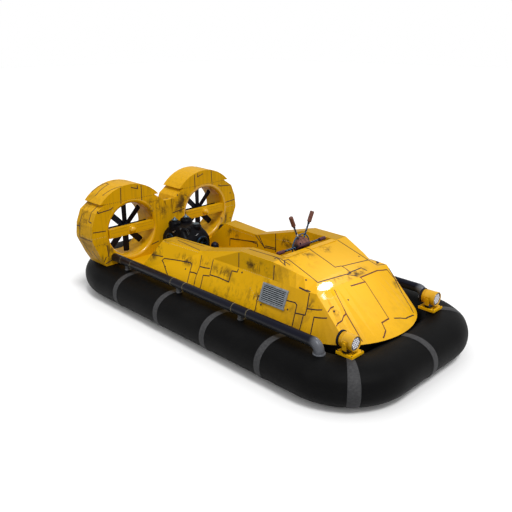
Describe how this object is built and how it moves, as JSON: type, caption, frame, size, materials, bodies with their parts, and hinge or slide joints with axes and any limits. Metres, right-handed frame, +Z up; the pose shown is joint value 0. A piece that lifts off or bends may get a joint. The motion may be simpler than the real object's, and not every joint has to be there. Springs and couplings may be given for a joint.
{
  "type": "twin-fan hovercraft",
  "caption": "Open hovercraft with an inflated skirt, plated hull, ducted rear fans, engine behind the cockpit, side air pipes, corner lamps and a steering bar with levers.",
  "frame": {"origin": "on the ground under the middle of the skirt", "axes": "+X forward, +Y to port, +Z up"},
  "size_m": [4.884, 2.376, 1.379],
  "materials": {
    "yellow_paint": "worn satin paint on plates",
    "skirt_rubber": "matt coated fabric",
    "dark_metal": "dark navy paint",
    "pipe_metal": "dark steel pipe",
    "engine_black": "gloss black",
    "steel_blue": "blued steel",
    "vent_grey": "grey-blue paint",
    "brown_leather": "worn brown leather",
    "lamp_glass": "clear lens over white lamps",
    "black_vinyl": "black vinyl"
  },
  "bodies": {
    "hull": {"duct_cap_port": "yellow_paint", "duct_cap_starboard": "yellow_paint", "duct_port": "yellow_paint", "duct_starboard": "yellow_paint", "engine_block": "engine_black", "engine_cone_port": "steel_blue", "engine_cone_starboard": "steel_blue", "engine_filter": "dark_metal", "engine_plug": "steel_blue", "engine_pulley": "dark_metal", "fan_strut_port": "yellow_paint", "fan_strut_starboard": "yellow_paint", "fan_web": "yellow_paint", "hood": "yellow_paint", "hull_base": "yellow_paint", "hull_side_port": "yellow_paint", "hull_side_starboard": "yellow_paint", "lamp_base_port": "yellow_paint", "lamp_base_starboard": "yellow_paint", "lamp_housing_port": "yellow_paint", "lamp_housing_starboard": "yellow_paint", "lamp_lens_port": "lamp_glass", "lamp_lens_starboard": "lamp_glass", "lamp_ring_port": "dark_metal", "lamp_ring_starboard": "dark_metal", "lamp_yoke_port": "yellow_paint", "lamp_yoke_starboard": "yellow_paint", "nose": "yellow_paint", "pipe_stub_front_port": "pipe_metal", "pipe_stub_front_starboard": "pipe_metal", "pipe_stub_middle_port": "pipe_metal", "pipe_stub_middle_starboard": "pipe_metal", "pipe_stub_rear_port": "pipe_metal", "pipe_stub_rear_starboard": "pipe_metal", "seat_box": "yellow_paint", "seat_cushion": "black_vinyl", "side_pipe_port": "pipe_metal", "side_pipe_starboard": "pipe_metal", "skirt": "skirt_rubber", "steering_column": "dark_metal", "vent_port": "vent_grey", "vent_starboard": "vent_grey"},
    "rotor_starboard": {"rotor_starboard": "dark_metal"},
    "rotor_port": {"rotor_port": "dark_metal"},
    "steering": {"steering_frame": "steel_blue", "bar_grip_starboard": "brown_leather", "bar_grip_port": "brown_leather", "lever_grip_starboard": "brown_leather", "lever_grip_port": "brown_leather", "steering_pad": "brown_leather"}
  },
  "joints": [
    {"name": "rotor_starboard_spin", "type": "hinge", "parent": "hull", "child": "rotor_starboard", "pos_m": [-1.69, -0.6, 0.801], "axis": [1, 0, 0], "continuous": true},
    {"name": "rotor_port_spin", "type": "hinge", "parent": "hull", "child": "rotor_port", "pos_m": [-1.69, 0.6, 0.801], "axis": [1, 0, 0], "continuous": true},
    {"name": "steering_turn", "type": "hinge", "parent": "hull", "child": "steering", "pos_m": [0.772, 0, 0.986], "axis": [-0.6428, 0, 0.766], "range_deg": [-30, 30]}
  ]
}
